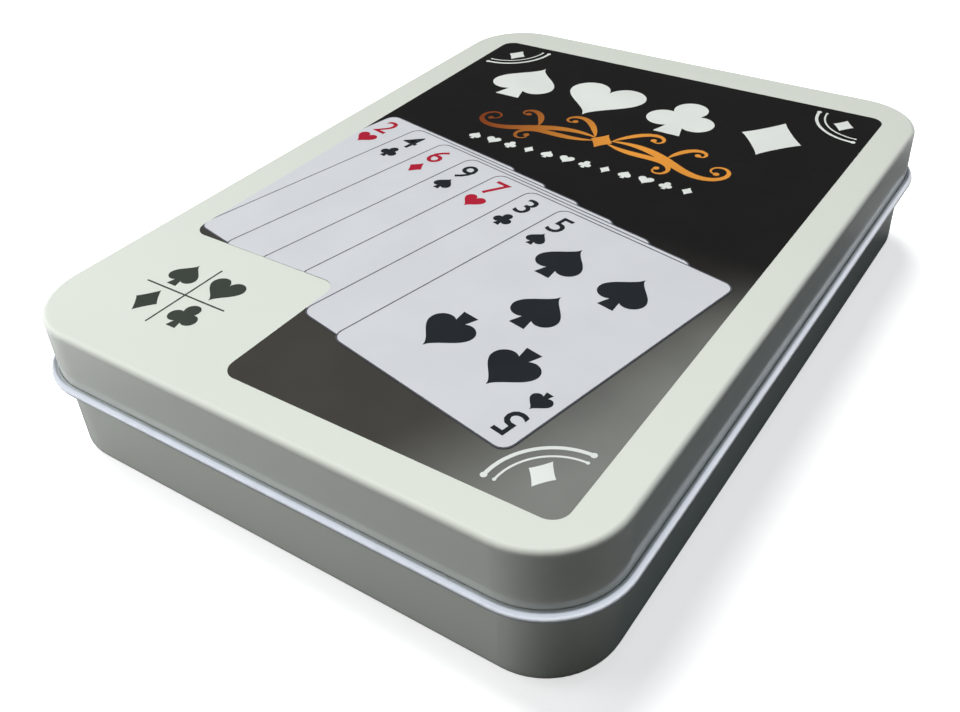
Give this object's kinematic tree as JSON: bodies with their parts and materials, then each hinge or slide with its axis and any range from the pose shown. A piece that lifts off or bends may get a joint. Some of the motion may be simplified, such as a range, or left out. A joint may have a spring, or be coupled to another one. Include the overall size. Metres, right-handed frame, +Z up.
{
  "type": "playing card tin",
  "caption": "Slim tinplate case with rounded corners and a hinged slip-over lid, holding a stack of playing cards in its tray.",
  "frame": {"origin": "centre of the tray's underside, on the plane the tin stands on", "axes": "+Z up, +Y along the tin from the near end to the far end, +X across the tin from the hinged long side to the long side that opens"},
  "size_m": [0.0733, 0.1, 0.0182],
  "materials": {
    "tray_tin": "glossy pale varnish outside, bright tinplate inside",
    "lid_tin": "glossy pale varnish outside, bright tinplate inside and on the curled bead",
    "lid_print": "glossy litho print under varnish",
    "card_board": "smooth plastic-coated card"
  },
  "bodies": {
    "tray": {"base_tray": "tray_tin", "first_joker": "card_board", "second_joker": "card_board", "ace_of_spades": "card_board", "two_of_spades": "card_board", "three_of_spades": "card_board", "four_of_spades": "card_board", "five_of_spades": "card_board", "six_of_spades": "card_board", "seven_of_spades": "card_board", "eight_of_spades": "card_board", "nine_of_spades": "card_board", "ten_of_spades": "card_board", "jack_of_spades": "card_board", "queen_of_spades": "card_board", "king_of_spades": "card_board", "ace_of_hearts": "card_board", "two_of_hearts": "card_board", "three_of_hearts": "card_board", "four_of_hearts": "card_board", "five_of_hearts": "card_board", "six_of_hearts": "card_board", "seven_of_hearts": "card_board", "eight_of_hearts": "card_board", "nine_of_hearts": "card_board", "ten_of_hearts": "card_board", "jack_of_hearts": "card_board", "queen_of_hearts": "card_board", "king_of_hearts": "card_board", "ace_of_diamonds": "card_board", "two_of_diamonds": "card_board", "three_of_diamonds": "card_board", "four_of_diamonds": "card_board", "five_of_diamonds": "card_board", "six_of_diamonds": "card_board", "seven_of_diamonds": "card_board", "eight_of_diamonds": "card_board", "nine_of_diamonds": "card_board", "ten_of_diamonds": "card_board", "jack_of_diamonds": "card_board", "queen_of_diamonds": "card_board", "king_of_diamonds": "card_board", "ace_of_clubs": "card_board", "two_of_clubs": "card_board", "three_of_clubs": "card_board", "four_of_clubs": "card_board", "five_of_clubs": "card_board", "six_of_clubs": "card_board", "seven_of_clubs": "card_board", "eight_of_clubs": "card_board", "nine_of_clubs": "card_board", "ten_of_clubs": "card_board", "jack_of_clubs": "card_board", "queen_of_clubs": "card_board", "king_of_clubs": "card_board"},
    "lid": {"lid_shell": "lid_tin"}
  },
  "joints": [
    {"name": "lid_hinge", "type": "hinge", "parent": "tray", "child": "lid", "pos_m": [-0.03599, 0, 0.0108], "axis": [0, -1, 0], "range_deg": [0, 180]}
  ]
}
